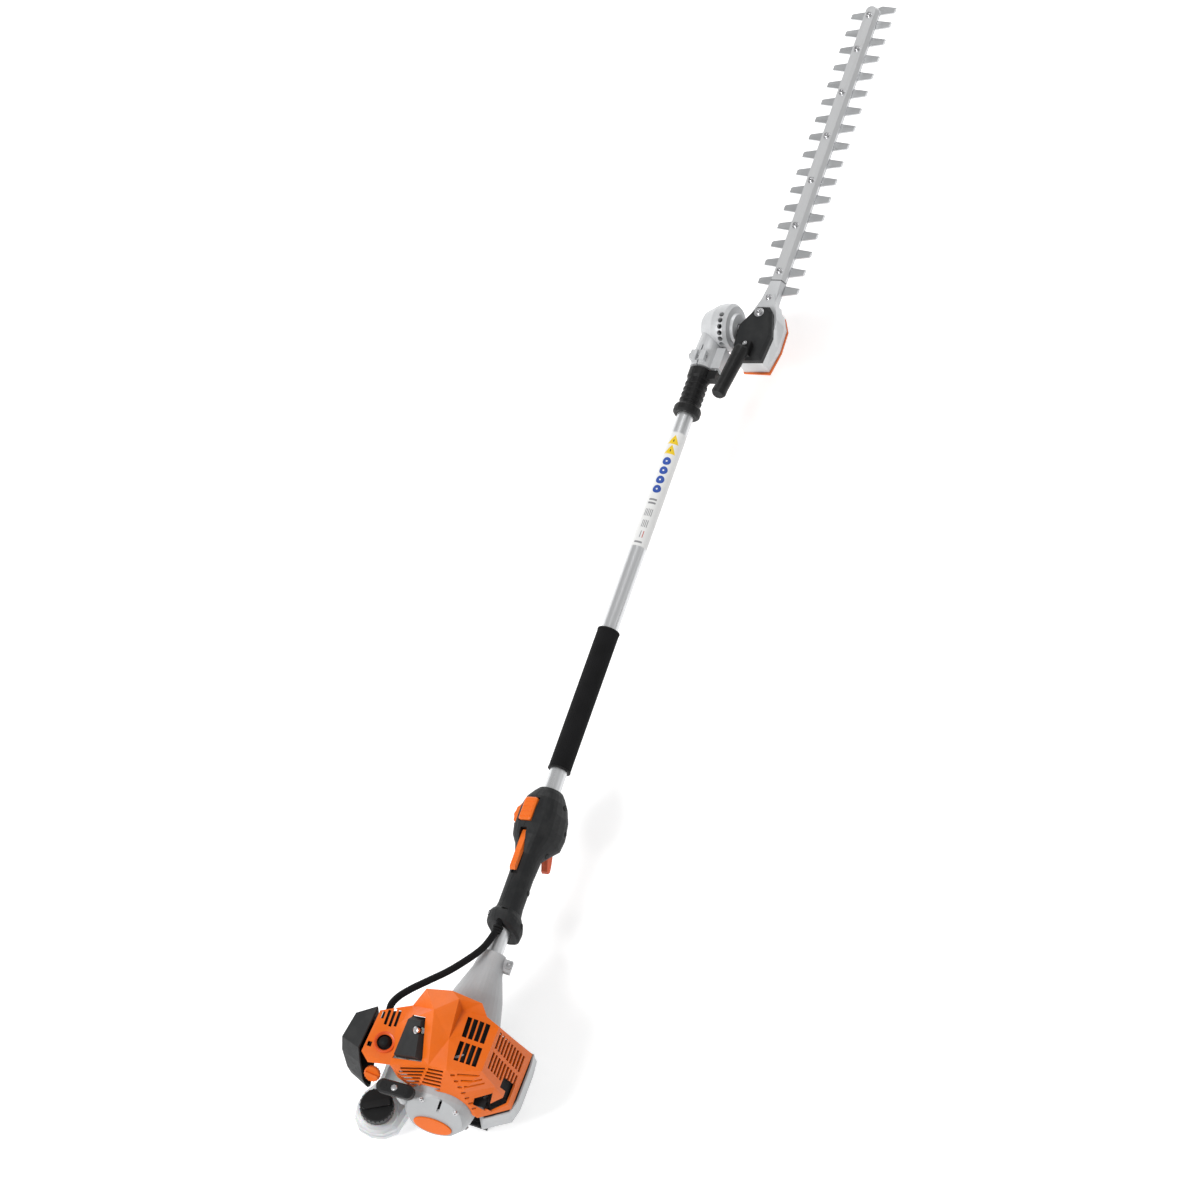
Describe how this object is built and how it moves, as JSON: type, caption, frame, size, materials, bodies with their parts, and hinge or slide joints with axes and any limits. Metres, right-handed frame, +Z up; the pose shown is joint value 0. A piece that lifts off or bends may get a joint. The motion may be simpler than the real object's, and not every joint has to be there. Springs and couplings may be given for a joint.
{
  "type": "pole hedge trimmer",
  "caption": "Long-reach petrol hedge trimmer: vented engine, tube with control handle, and a swivelling double-sided cutter bar.",
  "frame": {"origin": "centre of the underside of the engine stand, on the ground", "axes": "+X along the tube towards the cutter, +Z up from the ground, +Y to the left, where the air filter is"},
  "size_m": [1.9391, 0.2615, 0.231],
  "materials": {
    "orange": "satin",
    "dark": "matte",
    "black": "matte",
    "light": "satin",
    "alu": "satin",
    "steel": "satin",
    "cast": "cast",
    "tank": "satin",
    "foam": "matte",
    "muffler": "matte",
    "cord": "woven"
  },
  "bodies": {
    "frame": {"air_filter": "foam", "air_filter_cover": "dark", "carburettor": "cast", "clutch_housing": "light", "connecting_rod": "steel", "crank_pin": "steel", "crankcase": "cast", "cylinder": "cast", "drive_tube": "alu", "engine_shroud": "orange", "fuel_tank": "tank", "handle_shell_left": "dark", "handle_shell_right": "dark", "head_clamp_screw": "steel", "hose_grip": "foam", "ignition_module": "black", "lock_spring": "steel", "lower_housing": "light", "muffler": "muffler", "piston": "alu", "piston_pin": "steel", "plug_cover": "dark", "plug_cover_screw": "steel", "shaft_bush": "black", "spark_plug": "steel", "stand_foot": "black", "starter_badge": "orange", "starter_housing": "light", "starter_rope": "cord", "swivel_housing": "cast", "throttle_cable_sleeve": "black", "tube_clamp_screw": "steel"},
    "crankshaft": {"crankshaft_rear": "steel", "crankshaft_front": "steel", "flywheel": "alu", "clutch_shoes": "steel"},
    "driveline": {"clutch_drum": "steel", "drive_shaft": "steel", "bevel_pinion": "steel"},
    "cross_shaft": {"cross_shaft": "steel"},
    "cutter_head": {"index_ring": "cast", "blade_gear_housing": "cast", "base_plate": "orange", "gear_cover": "dark", "swivel_lever": "black", "guide_bar": "alu"},
    "crank_gear": {"crank_gear": "steel"},
    "upper_blade": {"upper_blade": "steel"},
    "lower_blade": {"lower_blade": "steel"},
    "lock": {"locking_sleeve": "black", "lock_bolt": "steel"},
    "trigger": {"throttle_trigger": "orange"},
    "lockout": {"trigger_lockout": "orange"},
    "stop_switch": {"stop_switch": "orange"},
    "speed_wheel": {"speed_wheel": "orange"},
    "fuel_cap": {"fuel_cap": "black"},
    "primer": {"primer_bulb": "black"},
    "choke": {"choke_lever": "orange"},
    "starter_grip": {"starter_grip": "black"},
    "rope_pulley": {"rope_pulley": "black"}
  },
  "joints": [
    {"name": "crankshaft_spin", "type": "hinge", "parent": "frame", "child": "crankshaft", "pos_m": [0, 0, 0.11], "axis": [1, 0, 0], "continuous": true},
    {"name": "driveline_spin", "type": "hinge", "parent": "frame", "child": "driveline", "pos_m": [0, 0, 0.11], "axis": [1, 0, 0], "continuous": true},
    {"name": "cross_shaft_spin", "type": "hinge", "parent": "frame", "child": "cross_shaft", "pos_m": [1.185, 0, 0.11], "axis": [0, -0.891, 0.454], "continuous": true},
    {"name": "head_swivel", "type": "hinge", "parent": "frame", "child": "cutter_head", "pos_m": [1.185, 0, 0.11], "axis": [0, -0.891, 0.454], "range_deg": [-55, 90]},
    {"name": "crank_gear_spin", "type": "hinge", "parent": "cutter_head", "child": "crank_gear", "pos_m": [1.183, -0.06651, 0.12705], "axis": [0, 0.454, 0.891], "continuous": true},
    {"name": "upper_blade_stroke", "type": "slide", "parent": "cutter_head", "child": "upper_blade", "axis": [1, 0, 0], "range_m": [-0.007, 0.007]},
    {"name": "lower_blade_stroke", "type": "slide", "parent": "cutter_head", "child": "lower_blade", "axis": [1, 0, 0], "range_m": [-0.007, 0.007]},
    {"name": "lock_pull", "type": "slide", "parent": "frame", "child": "lock", "axis": [1, 0, 0], "range_m": [-0.012, 0], "stiffness_N_per_m": 600, "springref_m": 0.01},
    {"name": "throttle_pull", "type": "hinge", "parent": "frame", "child": "trigger", "pos_m": [0.334, -0.01293, 0.0922], "axis": [0, 0.809, -0.5878], "range_deg": [0, 18], "stiffness_Nm_per_rad": 0.3, "springref_deg": -17.19},
    {"name": "lockout_press", "type": "hinge", "parent": "frame", "child": "lockout", "pos_m": [0.326, 0.01176, 0.12618], "axis": [0, 0.809, -0.5878], "range_deg": [-4, 0], "stiffness_Nm_per_rad": 0.4, "springref_deg": 17.19},
    {"name": "stop_rock", "type": "hinge", "parent": "frame", "child": "stop_switch", "pos_m": [0.3595, 0.01907, 0.13199], "axis": [0, 0.809, -0.5878], "range_deg": [-3.5, 3.5]},
    {"name": "speed_turn", "type": "hinge", "parent": "frame", "child": "speed_wheel", "pos_m": [0.355, 0.02152, 0.11835], "axis": [0, 0.5878, 0.809], "range_deg": [-75, 75]},
    {"name": "cap_turn", "type": "hinge", "parent": "frame", "child": "fuel_cap", "pos_m": [-0.092, 0.083, 0.11], "axis": [0, 0, 1], "range_deg": [0, 90]},
    {"name": "primer_press", "type": "slide", "parent": "frame", "child": "primer", "axis": [0, 0, 1], "range_m": [-0.004, 0], "stiffness_N_per_m": 800, "springref_m": 0.001},
    {"name": "choke_turn", "type": "hinge", "parent": "frame", "child": "choke", "pos_m": [-0.0605, 0.098, 0.13], "axis": [-0.6594, 0.0599, 0.7494], "range_deg": [0, 40]},
    {"name": "starter_pull", "type": "slide", "parent": "frame", "child": "starter_grip", "axis": [0, 0.2599, 0.9656], "range_m": [0, 0.35], "stiffness_N_per_m": 12, "springref_m": -0.5},
    {"name": "pulley_spin", "type": "hinge", "parent": "frame", "child": "rope_pulley", "pos_m": [0, 0, 0.11], "axis": [1, 0, 0], "range_deg": [-5, 900]}
  ],
  "couplings": [
    {"joint": "cross_shaft_spin", "follows": "driveline_spin", "ratio": -0.71429},
    {"joint": "crank_gear_spin", "follows": "driveline_spin", "ratio": 0.53571},
    {"joint": "lower_blade_stroke", "follows": "upper_blade_stroke", "ratio": -1},
    {"joint": "pulley_spin", "follows": "starter_pull", "rad_per_m": 44.2}
  ]
}
